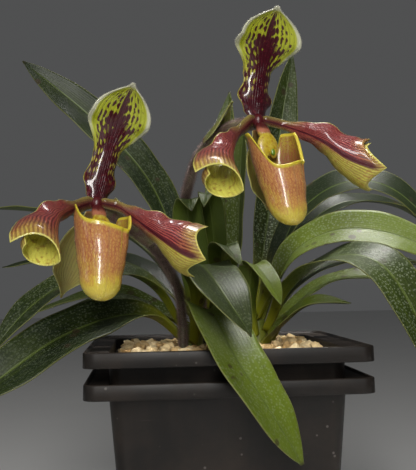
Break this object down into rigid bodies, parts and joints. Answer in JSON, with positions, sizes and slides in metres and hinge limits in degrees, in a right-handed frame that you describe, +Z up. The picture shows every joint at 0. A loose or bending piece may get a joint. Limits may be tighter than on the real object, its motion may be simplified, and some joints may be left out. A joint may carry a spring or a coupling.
{
  "type": "potted slipper orchid",
  "caption": "Slipper orchid (paphiopedilum) in bloom, with strap leaves, standing in nested square nursery pots filled with bark mix.",
  "frame": {"origin": "centre of the outer pot's flat bottom", "axes": "+Z up, -Y the side that the blooms look to, +X to the right seen from there"},
  "size_m": [0.2664, 0.2137, 0.2952],
  "materials": {
    "pot_plastic": "dark grey plastic, scuffed at the rim",
    "bark_mix": "dry tan bark and pumice chips",
    "leaf": "waxy green leaf with a pale midrib",
    "leaf_base": "yellow-green leaf base",
    "petal": "glossy maroon and yellow-green petal with dark veins",
    "sepal": "lime green sepal with maroon spots",
    "pouch": "glossy rose and ochre pouch with fine veins",
    "column": "glossy yellow shield",
    "flower_stem": "hairy olive and purple stem"
  },
  "bodies": {
    "root": {"growing_medium": "bark_mix", "growth_left": "leaf_base", "growth_middle": "leaf_base", "growth_right": "leaf_base", "inner_pot": "pot_plastic", "leaf_arch_left": "leaf", "leaf_arch_right": "leaf", "leaf_arch_right_back": "leaf", "leaf_back_right": "leaf", "leaf_broad_front": "leaf", "leaf_curl_left": "leaf", "leaf_curl_right": "leaf", "leaf_dim_left": "leaf", "leaf_folded_mid": "leaf", "leaf_front_hanging": "leaf", "leaf_glare_right": "leaf", "leaf_low_left": "leaf", "leaf_low_right": "leaf", "leaf_olive_mid": "leaf", "leaf_over_right": "leaf", "leaf_short_right": "leaf", "leaf_sliver_left": "leaf", "leaf_strap_mid": "leaf", "leaf_tall_left": "leaf", "leaf_tall_mid": "leaf", "leaf_tall_right": "leaf", "leaf_thin_back": "leaf", "leaf_thin_left": "leaf", "left_bloom_bract": "sepal", "left_bloom_column": "column", "left_bloom_dorsal_sepal": "sepal", "left_bloom_ovary": "flower_stem", "left_bloom_petal_left": "petal", "left_bloom_petal_right": "petal", "left_bloom_pouch": "pouch", "left_bloom_synsepal": "sepal", "left_flower_stem": "flower_stem", "outer_pot": "pot_plastic", "right_bloom_bract": "sepal", "right_bloom_column": "column", "right_bloom_dorsal_sepal": "sepal", "right_bloom_ovary": "flower_stem", "right_bloom_petal_left": "petal", "right_bloom_petal_right": "petal", "right_bloom_pouch": "pouch", "right_bloom_synsepal": "sepal", "right_flower_stem": "flower_stem"}
  },
  "joints": []
}
